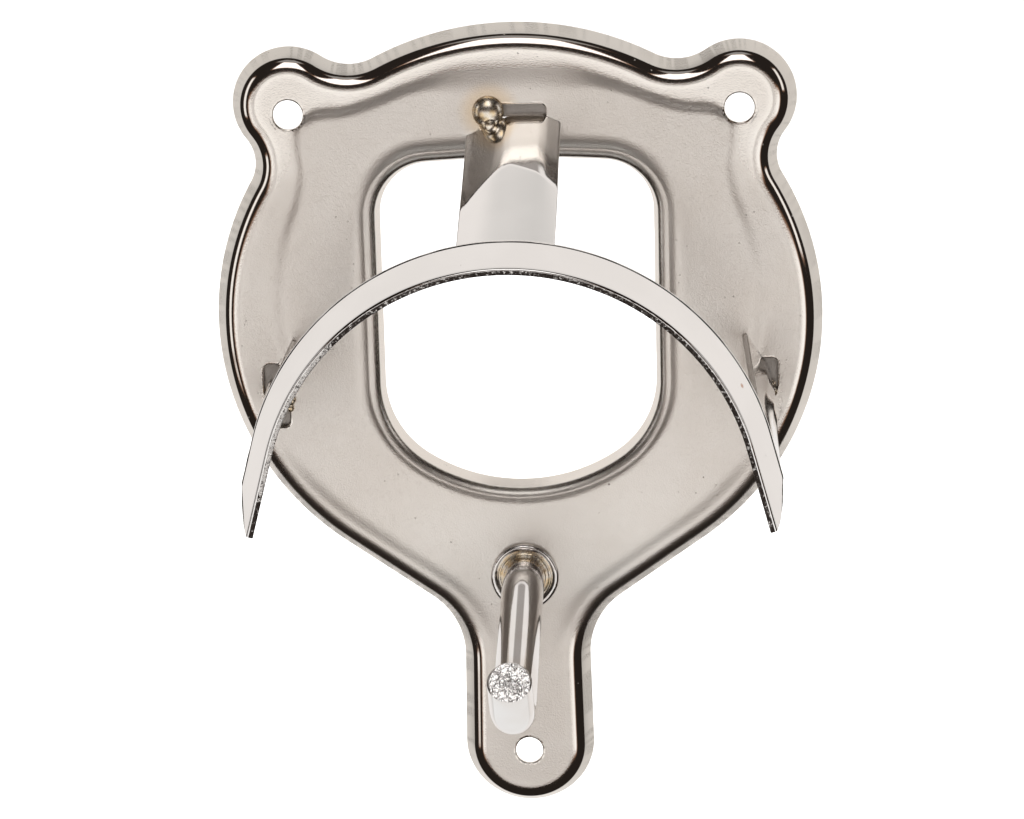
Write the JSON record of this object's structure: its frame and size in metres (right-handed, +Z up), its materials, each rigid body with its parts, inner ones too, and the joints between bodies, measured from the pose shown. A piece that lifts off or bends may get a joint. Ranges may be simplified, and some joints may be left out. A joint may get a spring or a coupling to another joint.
{
  "type": "bridle bracket",
  "caption": "Wall bracket for a horse's bridle: a pressed steel plate with ears and a stem, an arched crown rest on welded tabs, and a round-bar rein hook.",
  "frame": {"origin": "on the wall plane, in the middle of the pressed lip below the central opening", "axes": "+X to the right as the bracket's front is viewed, +Z up from the stem to the head, -Y out of the wall towards the viewer"},
  "size_m": [0.149, 0.0903, 0.1998],
  "materials": {
    "satin_nickel": "satin nickel plate",
    "bright_nickel": "bright nickel plate",
    "weld_metal": "plated weld with a straw heat tint"
  },
  "bodies": {
    "root": {"backplate": "satin_nickel", "crown_rest": "bright_nickel", "hook_rod": "bright_nickel", "hook_collar": "bright_nickel", "weld_bead_top": "weld_metal", "weld_bead_left": "weld_metal", "weld_bead_right": "weld_metal"}
  },
  "joints": []
}
